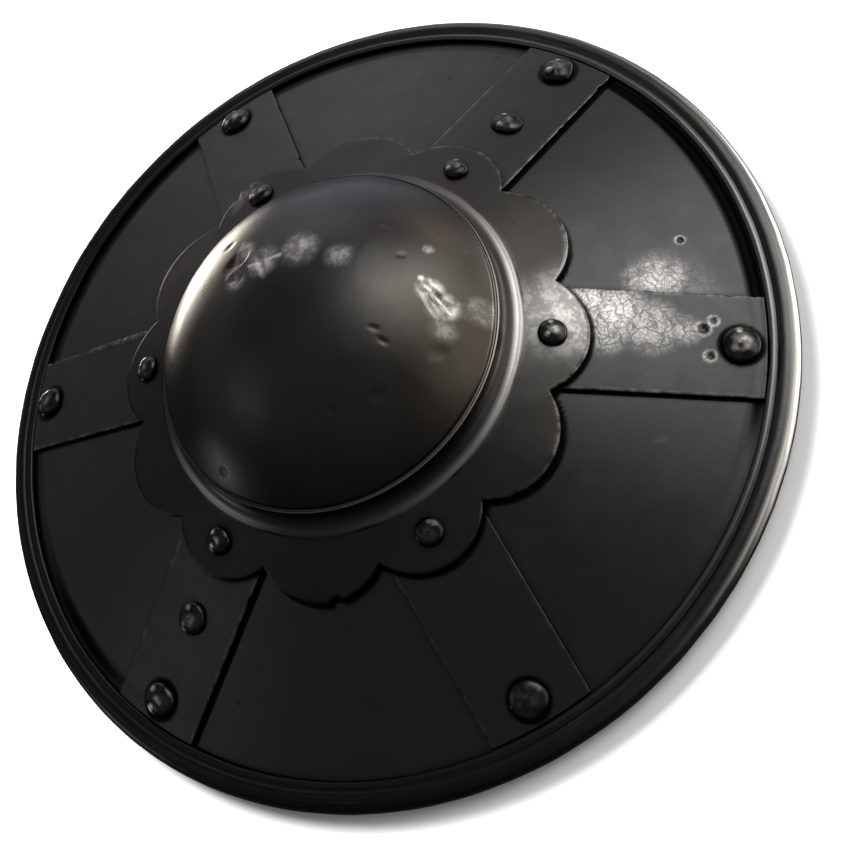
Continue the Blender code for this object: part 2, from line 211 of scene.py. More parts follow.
def strap_angle(letter):
    return FIRST_STRAP_ANGLE + LETTERS.index(letter) * STRAP_STEP


def arc(centre, radius, start, end, steps):
    angles = [start + (end - start) * i / steps for i in range(steps + 1)]
    return [(centre[0] + radius * math.cos(a), centre[1] + radius * math.sin(a)) for a in angles]


def between(start, end, steps):
    """Points along a straight run, without its first one."""
    return [tuple(a + (b - a) * i / steps for a, b in zip(start, end)) for i in range(1, steps + 1)]


def eased(value, low, high):
    """Nothing below the low value, one above the high one, and a smooth rise in between."""
    share = min(1.0, max(0.0, (value - low) / (high - low)))
    return share * share * (3 - 2 * share)


def bowl(distance, reach):
    """A smooth fall from one at the middle to nothing at the reach."""
    return (1 - (distance / reach) ** 2) ** 2 if abs(distance) < reach else 0.0


def from_line(point, start, end):
    """How far a place lies from a straight line between two others, in plan."""
    along = end - start
    share = min(1.0, max(0.0, (point - start).dot(along) / along.length_squared))
    return (point - start - along * share).length


def gently(point, size, depth, seed=0.0):
    """How far a hand-hammered face wanders at this point."""
    return depth * noise.noise(point / size + Vector((seed, seed * 2, -seed)))


def groove(radius, angle):
    """How far the disc is sunk beside the rim."""
    middle = LIP_RADIUS - GROOVE_WIDTH / 2 + 0.4 * MM
    across = bowl(radius - middle, GROOVE_WIDTH / 2 + 0.6 * MM)
    shallow = 1 - 0.8 * eased(math.cos(angle - SHALLOW_SIDE), -0.2, 0.5)
    present = eased(1 - math.cos(angle - GROOVE_MISSING), 0.25, 0.75)
    return GROOVE_DEPTH * across * shallow * present


def under_petals(plan):
    """How dark the painted shadow just past the petal edges is at this place, on the sides that show
    it.
    """
    angle = math.atan2(plan.y, plan.x)
    shown = max(0.0, math.cos(angle - SHOWN_SIDE))
    past = plan.length - petal_edge(angle)
    width = GAP_SHADE * shown
    return (1 - eased(past, 0.5 * width, width + 0.1 * MM)) * eased(shown, 0.1, 0.5)


# Materials

def linear(hex_colour):
    """An sRGB hex colour as linear values."""
    parts = [int(hex_colour[i:i + 2], 16) / 255 for i in (1, 3, 5)]
    return tuple(c / 12.92 if c <= 0.04045 else ((c + 0.055) / 1.055) ** 2.4 for c in parts) + (1,)


def per(size):
    """Texture scale for a pattern whose features are this many metres across."""
    return 1 / size


def add(tree, kind, inputs=None, out=0, **settings):
    """Adds a node with its settings, sets or links its inputs, and gives back one output."""
    node = tree.nodes.new(kind)
    for key, value in settings.items():
        setattr(node, key, value)
    for key, value in (inputs or {}).items():
        if isinstance(value, bpy.types.NodeSocket):
            tree.links.new(value, node.inputs[key])
        else:
            node.inputs[key].default_value = value
    return node.outputs[out]


# Flakes of the crazed film, coarse and fine
FLAKE_SIZES = (6.0 * MM, 2.3 * MM)


def crazed(tree, place, size):
    """One in the flakes of a crazed film and less in the thin dark lines between them."""
    bend = add(tree, "ShaderNodeTexNoise", {"Vector": place, "Scale": per(size * 1.6), "Detail": 2.0},
               out="Color")
    drift = add(tree, "ShaderNodeVectorMath", {0: bend, 1: (size * 2.4,) * 3}, operation="MULTIPLY")
    bent = add(tree, "ShaderNodeVectorMath", {0: place, 1: drift}, operation="ADD")
    cells = add(tree, "ShaderNodeTexVoronoi", {"Vector": bent, "Scale": per(size)},
                feature="DISTANCE_TO_EDGE")
    return add(tree, "ShaderNodeMapRange", {"Value": cells, "From Min": 0.0, "From Max": 0.12,
                                            "To Min": 0.3}, interpolation_type="SMOOTHSTEP")


def pitted(tree, place, size):
    """Small rust pits, some way apart and gathered in patches."""
    cells = add(tree, "ShaderNodeTexVoronoi", {"Vector": place, "Scale": per(size)})
    pits = add(tree, "ShaderNodeMapRange", {"Value": cells, "From Min": 0.16, "From Max": 0.05},
               interpolation_type="SMOOTHSTEP")
    patches = add(tree, "ShaderNodeTexNoise", {"Vector": place, "Scale": per(size * 4), "Detail": 2.0})
    where = add(tree, "ShaderNodeMapRange", {"Value": patches, "From Min": 0.58, "From Max": 0.66})
    return add(tree, "ShaderNodeMath", {0: pits, 1: where}, operation="MULTIPLY")


def round_the_rim(tree, place):
    """Places measured along the rim and across it, so that a pattern follows the roll."""
    flat = add(tree, "ShaderNodeVectorMath", {0: place, 1: (1, 1, 0)}, operation="MULTIPLY")
    bearing = add(tree, "ShaderNodeVectorMath", {0: flat}, operation="NORMALIZE")
    along = add(tree, "ShaderNodeVectorMath", {0: bearing, 1: (SHIELD_RADIUS / (45 * MM),) * 3},
                operation="MULTIPLY")
    reach = add(tree, "ShaderNodeVectorMath", {0: flat}, operation="LENGTH", out="Value")
    height = add(tree, "ShaderNodeVectorMath", {0: place, 1: (0, 0, 1)}, operation="DOT_PRODUCT",
                 out="Value")
    across = add(tree, "ShaderNodeMath", {0: reach, 1: height}, operation="SUBTRACT")
    fine = add(tree, "ShaderNodeMath", {0: across, 1: per(0.7 * MM)}, operation="MULTIPLY")
    rise = add(tree, "ShaderNodeCombineXYZ", {"Z": fine})
    return add(tree, "ShaderNodeVectorMath", {0: along, 1: rise}, operation="ADD")


def strap_edge_shadows(tree, place):
    """Painted shadow lines on the disc along each strap edge that faces the lower right."""
    lines = add(tree, "ShaderNodeValue")
    for letter in LETTERS:
        for side in (-1, 1):
            outward = strap_angle(letter) + side * math.pi / 2
            shown = math.cos(outward - SHOWN_SIDE)
            if shown < 0.2:
                continue
            normal = (math.cos(outward), math.sin(outward), 0)
            axis = (math.cos(strap_angle(letter)), math.sin(strap_angle(letter)), 0)
            off = add(tree, "ShaderNodeVectorMath", {0: place, 1: normal}, operation="DOT_PRODUCT",
                      out="Value")
            along = add(tree, "ShaderNodeVectorMath", {0: place, 1: axis}, operation="DOT_PRODUCT",
                        out="Value")
            reach = STRAP_WIDTH / 2 + GAP_SHADE * shown
            line = add(tree, "ShaderNodeMapRange", {"Value": off, "From Min": reach,
                                                    "From Max": reach - 0.8 * MM,
                                                    "To Max": min(1.0, 1.6 * shown)},
                       interpolation_type="SMOOTHSTEP")
            ahead = add(tree, "ShaderNodeMath", {0: along, 1: 0.0}, operation="GREATER_THAN")
            inside = add(tree, "ShaderNodeMath", {0: off, 1: 0.0}, operation="GREATER_THAN")
            line = add(tree, "ShaderNodeMath", {0: line, 1: ahead}, operation="MULTIPLY")
            line = add(tree, "ShaderNodeMath", {0: line, 1: inside}, operation="MULTIPLY")
            lines = add(tree, "ShaderNodeMath", {0: lines, 1: line}, operation="MAXIMUM")
    return lines


# Its three colours, how rough it is, the size of its clouds, how crazed the film is and how evenly
# it is rubbed
Look = namedtuple("Look", "dark brown worn roughness cloud crazing patches")


def blackened_steel(name, look, streaked=False, strap_shadows=False):
    """Oil-blackened mild steel: smooth, dark and faintly brown in clouds. Where it is rubbed,
    brighter metal shows under a crazed film, with painted sheen and glints where lamps are mirrored;
    painted shade darkens each corner, round the rim rivets, beside the petals and along strap edges."""
    finish = bpy.data.materials.new(name)
    finish.use_nodes = True
    tree = finish.node_tree
    shader = tree.nodes["Principled BSDF"]
    place = add(tree, "ShaderNodeTexCoord", out="Object")
    edge = add(tree, "ShaderNodeAttribute", attribute_name="edge", out="Fac")
    marks_and_glare = add(tree, "ShaderNodeAttribute", attribute_name="marks_and_glare", out="Fac")
    polish_and_sheen = add(tree, "ShaderNodeAttribute", attribute_name="polish_and_sheen", out="Fac")
    browned = add(tree, "ShaderNodeAttribute", attribute_name="browned", out="Fac")

    # Colour of the oxide
    clouds = add(tree, "ShaderNodeTexNoise", {"Vector": place, "Scale": per(look.cloud), "Detail": 3.0,
                                              "Roughness": 0.6})
    tone = add(tree, "ShaderNodeMapRange", {"Value": clouds, "From Min": 0.40, "From Max": 0.68,
                                            "To Max": 0.4}, interpolation_type="SMOOTHSTEP")
    tone = add(tree, "ShaderNodeMath", {0: tone, 1: browned}, operation="ADD", use_clamp=True)
    colour = add(tree, "ShaderNodeMix", {0: tone, 6: linear(look.dark), 7: linear(look.brown)}, out=2,
                 data_type="RGBA")

    # Where brighter metal shows
    ragged = add(tree, "ShaderNodeTexNoise", {"Vector": place, "Scale": per(6 * MM), "Detail": 4.0,
                                              "Roughness": 0.7})
    rub = add(tree, "ShaderNodeMapRange", {"Value": ragged, "From Min": 0.42, "From Max": 0.62},
              interpolation_type="SMOOTHSTEP")
    edge_rub = add(tree, "ShaderNodeMath", {0: edge, 1: rub}, operation="MULTIPLY")
    flakes = 1.0
    if look.crazing:
        coarse, fine = [crazed(tree, place, size) for size in FLAKE_SIZES]
        flakes = add(tree, "ShaderNodeMath", {0: coarse, 1: fine}, operation="MULTIPLY")
        flakes = add(tree, "ShaderNodeMix", {0: look.crazing, 2: 1.0, 3: flakes})
    patchy = add(tree, "ShaderNodeMapRange", {"Value": ragged, "From Min": 0.42, "From Max": 0.60,
                                              "To Min": look.patches}, interpolation_type="SMOOTHSTEP")
    film = add(tree, "ShaderNodeMath", {0: flakes, 1: patchy}, operation="MULTIPLY")
    shown = add(tree, "ShaderNodeMath", {0: film, 1: marks_and_glare}, operation="MULTIPLY")
    bare = add(tree, "ShaderNodeMath", {0: edge_rub, 1: shown}, operation="MAXIMUM")
    smooth = add(tree, "ShaderNodeMath", {0: polish_and_sheen, 1: flakes}, operation="MULTIPLY")
    bare = add(tree, "ShaderNodeMath", {0: bare, 1: smooth}, operation="MAXIMUM")
    if streaked:
        drawn = add(tree, "ShaderNodeTexNoise", {"Vector": round_the_rim(tree, place), "Scale": 1.0,
                                                 "Detail": 3.0, "Roughness": 0.7})
        draws = add(tree, "ShaderNodeMapRange", {"Value": drawn, "From Min": 0.52, "From Max": 0.70,
                                                 "To Max": 0.07}, interpolation_type="SMOOTHSTEP")
        bare = add(tree, "ShaderNodeMath", {0: bare, 1: draws}, operation="MAXIMUM")
    colour = add(tree, "ShaderNodeMix", {0: bare, 6: colour, 7: linear(look.worn)}, out=2,
                 data_type="RGBA")

    # Painted shade in corners from the occlusion node, darker rust pits, and the painted shade layer
    open_sky = add(tree, "ShaderNodeAmbientOcclusion", {"Distance": 3.0 * MM}, out="AO", samples=2)
    free_of_shade_and_pits = add(tree, "ShaderNodeMapRange", {"Value": open_sky, "From Min": 0.30, "From Max": 0.72,
                                             "To Min": 0.12}, interpolation_type="SMOOTHSTEP")
    pits = pitted(tree, place, 6 * MM)
    sound = add(tree, "ShaderNodeMath", {0: pits, 1: -0.4, 2: 1.0}, operation="MULTIPLY_ADD")
    free_of_shade_and_pits = add(tree, "ShaderNodeMath", {0: free_of_shade_and_pits, 1: sound}, operation="MULTIPLY")
    painted_shade = add(tree, "ShaderNodeAttribute", attribute_name="painted_shade", out="Fac")
    if strap_shadows:
        lines = strap_edge_shadows(tree, place)
        painted_shade = add(tree, "ShaderNodeMath", {0: painted_shade, 1: lines}, operation="MAXIMUM")
    bright = add(tree, "ShaderNodeMath", {0: painted_shade, 1: -0.92, 2: 1.0}, operation="MULTIPLY_ADD")
    free_of_shade_and_pits = add(tree, "ShaderNodeMath", {0: free_of_shade_and_pits, 1: bright}, operation="MULTIPLY")
    colour = add(tree, "ShaderNodeMix", {0: free_of_shade_and_pits, 6: (0, 0, 0, 1), 7: colour}, out=2,
                 data_type="RGBA")

    # How smooth it is: smoother where no painted shade or pit darkens the colour
    swirls = add(tree, "ShaderNodeTexNoise", {"Vector": place, "Scale": per(look.cloud * 0.3),
                                              "Detail": 3.0, "Roughness": 0.6})
    rough = add(tree, "ShaderNodeMapRange", {"Value": swirls, "From Min": 0.3, "From Max": 0.7,
                                             "To Min": look.roughness + 0.16,
                                             "To Max": look.roughness + 0.25})
    rough = add(tree, "ShaderNodeMath", {0: marks_and_glare, 1: 0.08, 2: rough}, operation="MULTIPLY_ADD")
    rough = add(tree, "ShaderNodeMath", {0: free_of_shade_and_pits, 1: -0.2, 2: rough}, operation="MULTIPLY_ADD")

    # Small relief: soft waves, and a grain drawn coarser than it is so that it shows
    grain = add(tree, "ShaderNodeTexNoise", {"Vector": place, "Scale": per(1.1 * MM), "Detail": 1.0})
    relief = add(tree, "ShaderNodeMath", {0: swirls, 1: 0.5}, operation="MULTIPLY")
    relief = add(tree, "ShaderNodeMath", {0: grain, 1: 0.10, 2: relief}, operation="MULTIPLY_ADD")
    normal = add(tree, "ShaderNodeBump", {"Height": relief, "Distance": 0.16 * MM, "Strength": 1.0})

    tree.links.new(colour, shader.inputs["Base Color"])
    tree.links.new(rough, shader.inputs["Roughness"])
    tree.links.new(normal, shader.inputs["Normal"])
    shader.inputs["Metallic"].default_value = 1.0
    return finish


def oiled_ash():
    """Ash darkened with oil and handling: long open grain along the handle, silky where held."""
    finish = bpy.data.materials.new("dark oiled ash")
    finish.use_nodes = True
    tree = finish.node_tree
    shader = tree.nodes["Principled BSDF"]
    place = add(tree, "ShaderNodeTexCoord", out="Object")
    long_grain = add(tree, "ShaderNodeMapping", vector_type="TEXTURE",
                     inputs={"Vector": place, "Scale": (3.2 * MM, 60 * MM, 3.2 * MM)})
    grain = add(tree, "ShaderNodeTexNoise", {"Vector": long_grain, "Scale": 1.0, "Detail": 6.0,
                                             "Distortion": 0.4})
    short_grain = add(tree, "ShaderNodeMapping", vector_type="TEXTURE",
                      inputs={"Vector": place, "Scale": (0.7 * MM, 9 * MM, 0.7 * MM)})
    open_pores = add(tree, "ShaderNodeTexNoise", {"Vector": short_grain, "Scale": 1.0, "Detail": 2.0})
    pores = add(tree, "ShaderNodeMapRange", {"Value": open_pores, "From Min": 0.56, "From Max": 0.66},
                interpolation_type="SMOOTHSTEP")
    rings = add(tree, "ShaderNodeMapRange", {"Value": grain, "From Min": 0.35, "From Max": 0.65},
                interpolation_type="SMOOTHSTEP")
    wood = add(tree, "ShaderNodeMix", {0: rings, 6: linear("#2b1a0f"), 7: linear("#4d311d")}, out=2,
               data_type="RGBA")
    wood = add(tree, "ShaderNodeMix", {0: pores, 6: wood, 7: linear("#170d07")}, out=2,
               data_type="RGBA")
    rough = add(tree, "ShaderNodeMapRange", {"Value": grain, "From Min": 0.3, "From Max": 0.7,
                                             "To Min": 0.42, "To Max": 0.58})
    relief = add(tree, "ShaderNodeMath", {0: pores, 1: -0.6, 2: grain}, operation="MULTIPLY_ADD")
    normal = add(tree, "ShaderNodeBump", {"Height": relief, "Distance": 0.2 * MM, "Strength": 1.0})
    tree.links.new(wood, shader.inputs["Base Color"])
    tree.links.new(rough, shader.inputs["Roughness"])
    tree.links.new(normal, shader.inputs["Normal"])
    return finish


# Making pieces

# What is painted on each piece, point by point: rubbed edges (a painted highlight on the petal edges),
# marks that show metal under a crazed film (some of it painted glare), polish with painted sheen and
# glints, a brown tint, and painted shade
WEAR = ("edge", "marks_and_glare", "polish_and_sheen", "browned", "painted_shade")


def new_shape():
    shape = bmesh.new()
    for name in WEAR:
        shape.verts.layers.float.new(name)
    return shape


def wear(shape):
    """The five layers of a shape, in the order of their names."""
    return [shape.verts.layers.float[name] for name in WEAR]


def spun(profile, steps, closed=False):
    """A profile of (radius, height) points spun about Z, with its seam and poles merged."""
    shape = new_shape()
    verts = [shape.verts.new((r, 0.0, z)) for r, z in profile]
    edges = [shape.edges.new(pair) for pair in zip(verts, verts[1:])]
    if closed:
        edges.append(shape.edges.new((verts[-1], verts[0])))
    bmesh.ops.spin(shape, geom=verts + edges, cent=(0, 0, 0), axis=(0, 0, 1), dvec=(0, 0, 0),
                   angle=TURN, steps=steps, use_merge=True, use_duplicate=False)
    bmesh.ops.remove_doubles(shape, verts=shape.verts, dist=0.002 * MM)
    bmesh.ops.recalc_face_normals(shape, faces=shape.faces)
    return shape


def finish_piece(name, shape, material, nodes, wall=0.0, bevel=0.0):
    """A shape made an object that rides on the shield and stands for its solids."""
    mesh = bpy.data.meshes.new(name)
    shape.to_mesh(mesh)
    shape.free()
    mesh.shade_smooth()
    mesh.materials.append(material)
    piece = bpy.data.objects.new(name, mesh)
    bpy.context.scene.collection.objects.link(piece)
    if wall:
        solid = piece.modifiers.new("wall", "SOLIDIFY")
        solid.thickness = wall
        solid.offset = -1
        solid.use_even_offset = True
    if bevel:
        edge = piece.modifiers.new("edges", "BEVEL")
        edge.width = bevel
        edge.segments = 2
        edge.limit_method = "ANGLE"
        edge.angle_limit = math.radians(50)
    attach(piece, "root")
    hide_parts(*nodes)
    return piece


# The boss

def dome_arc(foot, height, steps):
    radius = (foot[0] ** 2 + height ** 2) / (2 * height)
    centre = (0.0, foot[1] + height - radius)
    end = math.atan2(foot[1] - centre[1], foot[0])
    return [(0.0, foot[1] + height)] + arc(centre, radius, math.pi / 2, end, steps)[1:]


def petal_edge(angle):
    """How far out the flange reaches at this angle: round petals that meet in cusps, one chipped."""
    local = (angle - FIRST_STRAP_ANGLE + RIVETED_HALF_ANGLE) % STRAP_STEP - RIVETED_HALF_ANGLE
    half = RIVETED_HALF_ANGLE
    if local > half:
        local -= STRAP_STEP / 2
        half = PLAIN_HALF_ANGLE
    along = CUSP_RADIUS * math.cos(half)
    aside = CUSP_RADIUS * math.sin(half)
    depth = PETAL_REACH - along
    radius = (aside ** 2 + depth ** 2) / (2 * depth)
    centre = PETAL_REACH - radius
    reach = centre * math.cos(local) + math.sqrt(radius ** 2 - (centre * math.sin(local)) ** 2)
    off_chip = (angle - CHIP_ANGLE + math.pi) % TURN - math.pi
    miss = PETAL_REACH * math.sin(off_chip)
    if abs(off_chip) < 0.1 and abs(miss) < CHIP_RADIUS:
        reach = min(reach, PETAL_REACH * math.cos(off_chip) - math.sqrt(CHIP_RADIUS ** 2 - miss ** 2))
    return reach


def on_cusp(angle):
    """The nearest column of points is moved onto each cusp between two petals."""
    for half in (-RIVETED_HALF_ANGLE, RIVETED_HALF_ANGLE):
        off = (angle - FIRST_STRAP_ANGLE - half + STRAP_STEP / 2) % STRAP_STEP - STRAP_STEP / 2
        if abs(off) <= TURN / BOSS_STEPS / 2:
            return angle - off
    return angle


def boss_section():
    """Dome, crease, beaded hollow neck and flange from the pole down, then back up inside."""
    ring = flange_top(NECK_RADIUS)
    foot = ring + NECK_HEIGHT
    outside = dome_arc((DOME_RADIUS, foot), DOME_HEIGHT, 84)[:-2]
    # A groove inside the bead at the dome's foot, then the hollow neck and a soft ridge at its base
    crease = ((-1.3, 0.3), (-0.95, -0.25), (-0.5, 0.0), (-0.1, 0.12), (0.15, -0.25), (0.1, -1.0),
              (-0.3, -2.2), (-0.4, -3.6), (-0.1, -5.0), (0.6, -6.4), (1.5, -7.6), (2.6, -8.5),
              (3.6, -9.15), (4.4, -9.6), (5.0, -9.75), (5.6, -9.85), (6.2, -10.15))
    outside += [(DOME_RADIUS + r * MM, foot + z * MM) for r, z in crease]
    start = (NECK_RADIUS + 1.5 * MM, flange_top(NECK_RADIUS + 1.5 * MM))
    outside += [start] + between(start, (PETAL_REACH, flange_top(PETAL_REACH)), 16)
    drop = BOSS_WALL / math.cos(FLANGE_ANGLE)
    under = (PETAL_REACH, flange_top(PETAL_REACH) - drop)
    back = (NECK_RADIUS - 0.6 * MM, flange_top(NECK_RADIUS) - drop)
    inside = [(PETAL_REACH, under[1] + drop / 2), under] + between(under, back, 5)
    inside += [(DOME_RADIUS - 1.4 * MM, ring + 3 * MM), (DOME_RADIUS - 2.4 * MM, ring + 6 * MM)]
    inner_foot = (DOME_RADIUS - 2.4 * MM, foot - 0.9 * MM)
    inside += dome_arc(inner_foot, DOME_HEIGHT + 0.9 * MM - BOSS_WALL, 14)[::-1]
    return outside + inside


def hammer_dome(vert, marks_and_glare, polish_and_sheen):
    """Dents, gouges and scratches pressed into the dome, with rubbed metal where they are,
    and a painted sheen round the dome's upper right.
    """
    plan = Vector((vert.co.x, vert.co.y))
    sink = abs(gently(vert.co, 34 * MM, 0.35 * MM))
    for x, y, length, width, turn, depth in DOME_DENTS:
        off = plan - Vector((x, y)) * MM
        if off.length < length * MM:
            away = off @ Matrix.Rotation(math.radians(turn), 2)
            sink += depth * MM * bowl(math.hypot(away.x / length, away.y / width) / MM, 1.0)
    for x, y, reach, strength in DOME_MARKS:
        off = (plan - Vector((x, y)) * MM).length
        vert[marks_and_glare] = max(vert[marks_and_glare], strength * bowl(off, reach * MM))
        vert[polish_and_sheen] = max(vert[polish_and_sheen], 0.3 * strength ** 3 * bowl(off, reach * MM))
    for x1, y1, x2, y2, strength in DOME_SCRATCHES:
        off = from_line(plan, Vector((x1, y1)) * MM, Vector((x2, y2)) * MM)
        line = strength * bowl(off, SCRATCH_REACH)
        vert[polish_and_sheen] = max(vert[polish_and_sheen], line)
        sink += SCRATCH_DEPTH * line
    # A faint painted sheen round the upper right of the dome
    worn = bowl((plan - DOME_SHEEN).length, DOME_SHEEN_REACH)
    vert[polish_and_sheen] = max(vert[polish_and_sheen], 0.06 * worn)
    outward = Vector((vert.co.x, vert.co.y, PRESS_DROP)).normalized()
    vert.co -= outward * sink


def boss_piece(material):
    """The dome, its creased foot, the hollow neck and the petals, raised from one sheet."""
    shape = spun(boss_section(), BOSS_STEPS)
    edge, marks_and_glare, polish_and_sheen, browned, painted_shade = wear(shape)
    foot = flange_top(NECK_RADIUS) + NECK_HEIGHT
    for vert in shape.verts:
        radius = math.hypot(vert.co.x, vert.co.y)
        angle = math.atan2(vert.co.y, vert.co.x)
        if radius > NECK_RADIUS + 1.4 * MM:
            angle = on_cusp(angle)
            lift = vert.co.z - flange_top(radius)
            share = (radius - NECK_RADIUS) / (PETAL_REACH - NECK_RADIUS)
            reach = NECK_RADIUS + share * (petal_edge(angle) - NECK_RADIUS)
            vert.co = (reach * math.cos(angle), reach * math.sin(angle), flange_top(reach) + lift)
            vert.co.z -= abs(gently(vert.co, 22 * MM, 0.4 * MM)) * share
            torn = bowl((Vector(vert.co.xy) - TORN_PETAL).length, TORN_REACH) * share
            vert.co.z += torn * gently(vert.co, 3.2 * MM, 1.5 * MM)
            # Marked metal with a painted highlight on the lit petal, where the light is mirrored
            lit_petal = bowl((Vector(vert.co.xy) - LIT_PETAL).length, LIT_PETAL_REACH)
            vert[marks_and_glare] = max(0.35 * torn, 0.5 * lit_petal)
            # A painted highlight on the petal tips near one cusp
            lit = bowl(math.degrees(angle) - BRIGHT_CUSP, 13) * eased(share, 0.95, 1.0)
            vert[polish_and_sheen] = max(0.22 * lit_petal, 0.7 * lit)
            # Painted shade over the whole flange, heavier on the sides away from the light, none on
            # the lit petal
            vert[painted_shade] = 0.22 + 0.25 * (1 - eased(math.cos(angle - UNSHADED_FLANGE_SIDE), -0.75, 0.85))
            vert[painted_shade] *= 1 - bowl(math.degrees(angle) - UNSHADED_PETAL, 20)
            # A painted highlight along the petal edges that face one side
            facing = max(0.0, math.cos(angle - PETAL_EDGE_SIDE))
            vert[edge] = 0.5 * eased(share, 0.93, 1.0) * facing
        elif vert.co.z > foot + 0.2 * MM:
            hammer_dome(vert, marks_and_glare, polish_and_sheen)
        elif vert.co.z > foot - 0.6 * MM:
            # A painted highlight along the dome's foot, brightest on one side
            vert[polish_and_sheen] = 0.05 + 0.35 * max(0.0, math.cos(angle - FOOT_SIDE))
        # A painted highlight along the ridge at the neck's base, on two sides
        highlight_share = max(0.0, math.cos(angle - NECK_SIDE)) ** 2
        highlight_share += 0.8 * bowl(math.degrees(angle) - NECK_BACK, 30)
        ridge = bowl(radius - NECK_RADIUS + 0.4 * MM, 2.4 * MM)
        vert[polish_and_sheen] = max(vert[polish_and_sheen], 0.55 * highlight_share * ridge)
        if radius < DOME_RADIUS:
            vert[browned] = eased(math.cos(angle - BROWN_SIDE) * radius, 20 * MM, 68 * MM)
    return finish_piece("boss_skin", shape, material, ["boss"])


# The disc, the straps and the rim

def disc_piece(material):
    """The cone of sheet, sunk beside the rim, with a hand hole that the boss covers."""
    inner = NECK_RADIUS - 1.6 * MM
    stops = ((86 * MM, 5), (106 * MM, 26), (LIP_RADIUS - GROOVE_WIDTH - 1 * MM, 16),
             (LIP_RADIUS + 3 * MM, 18))
    run = [(inner, over_disc(inner))]
    for reach, steps in stops:
        run += between(run[-1], (reach, over_disc(reach)), steps)
    shape = spun(run, DISC_STEPS)
    _, marks_and_glare, polish_and_sheen, _, painted_shade = wear(shape)
    near_pit = [e for e in shape.edges
                if all((Vector(v.co.xy) - DISC_PIT).length < 6 * MM for v in e.verts)]
    bmesh.ops.subdivide_edges(shape, edges=near_pit, cuts=4, use_grid_fill=True)
    for vert in shape.verts:
        plan = Vector(vert.co.xy)
        spare = eased(LIP_RADIUS - plan.length, 2 * MM, 14 * MM)
        vert.co.z -= abs(gently(vert.co, 45 * MM, 0.3 * MM)) * spare
        sunk = groove(plan.length, math.atan2(plan.y, plan.x))
        vert.co.z -= sunk
        # Marked metal with a painted highlight where the light is mirrored, and a wider painted sheen
        # round it
        core = bowl((plan - GLARE_ON_DISC).length, GLARE_REACH)
        disc_sheen = bowl((plan - DISC_SHEEN).length, DISC_SHEEN_REACH)
        pit = (plan - DISC_PIT).length
        lip = bowl(pit - PIT_REACH, 0.8 * MM)
        scratch = bowl(from_line(plan, *DISC_SCRATCH), 1.2 * MM)
        vert.co.z -= PIT_DEPTH * bowl(pit, PIT_REACH)
        vert[marks_and_glare] = core
        vert[polish_and_sheen] = max(0.9 * core ** 2, 0.17 * disc_sheen, 0.5 * lip, 0.16 * scratch)
        # Painted shadow beside the petals and painted shade in the groove by the rim
        vert[painted_shade] = max(under_petals(plan), eased(sunk, 0.3 * MM, 1.0 * MM))
    return finish_piece("disc_skin", shape, material, ["disc"], wall=DISC_WALL,
                        bevel=0.2 * MM)


def strap_piece(letter, material):
    """A flat strap laid on the cone, its sides straight and its outer end round with the rim."""
    along_steps, aside_steps = 130, 44
    half = STRAP_WIDTH / 2
    start = CUSP_RADIUS - STRAP_TUCK
    end = LIP_RADIUS - STRAP_END_GAP
    seed = LETTERS.index(letter) * 1.7
    turn = Matrix.Rotation(strap_angle(letter), 4, "Z")
    shape = new_shape()
    bmesh.ops.create_grid(shape, x_segments=along_steps, y_segments=aside_steps, size=1)
    edge, marks_and_glare, polish_and_sheen, _, painted_shade = wear(shape)
    for vert in shape.verts:
        share, across = (vert.co.x + 1) / 2, vert.co.y
        aside = half * across
        along = math.sqrt(start ** 2 - aside ** 2)
        along += share * (math.sqrt(end ** 2 - aside ** 2) - along)
        side = eased(abs(across), 0.93, 1.0)
        nick = noise.noise(Vector((along / (4 * MM), across * 3, seed)))
        aside -= math.copysign(max(0.0, nick - 0.22) * 1.6 * MM * side, across)
        radius = math.hypot(along, aside)
        place = turn @ Vector((along, aside, over_disc(radius, OVER_STRAP)))
        place.z -= abs(gently(place, 26 * MM, 0.22 * MM, seed))
        place.z -= GROOVE_UNDER_STRAP * groove(radius, math.atan2(place.y, place.x))
        vert[edge] = EDGE_WEAR[letter] * side
        if letter == "a":
            # Marked metal with a painted highlight where the light is mirrored on this strap
            for x, y, reach, strength in GLARE_ON_STRAP:
                off = bowl(math.hypot(along - x * MM, aside - y * MM), reach * MM)
                vert[marks_and_glare] = max(vert[marks_and_glare], strength * off)
                vert[polish_and_sheen] = max(vert[polish_and_sheen], 0.85 * strength * off)
            for x, y, reach, depth in RIVET_PITS:
                off = math.hypot(along - x * MM, aside - y * MM)
                place.z -= depth * MM * bowl(off, reach * MM)
                vert[polish_and_sheen] = max(vert[polish_and_sheen], 0.4 * bowl(off - reach * MM, 1.1 * MM))
        if letter == "d":
            torn = eased(along, *TORN_STRAP_START) * (1 - eased(along, *TORN_STRAP_END))
            torn *= eased(-across, 0.88, 0.97)
            place.z += torn * (0.9 + nick) * 0.9 * MM
            vert[marks_and_glare] = torn * 0.7
        vert.co = place
        # Painted shade in a ring round the rim rivet, and painted shadow beside the petals
        off_rivet = math.hypot(along - RIM_RIVET.reach, aside) - RIM_RIVET.head_radius
        ring = 1 - eased(off_rivet, 0.5 * MM, 1.4 * MM)
        vert[painted_shade] = max(under_petals(Vector(place.xy)), 0.95 * ring)
    return finish_piece("strap_" + letter + "_skin", shape, material,
                        ["strap_" + letter], wall=STRAP_WALL, bevel=0.2 * MM)


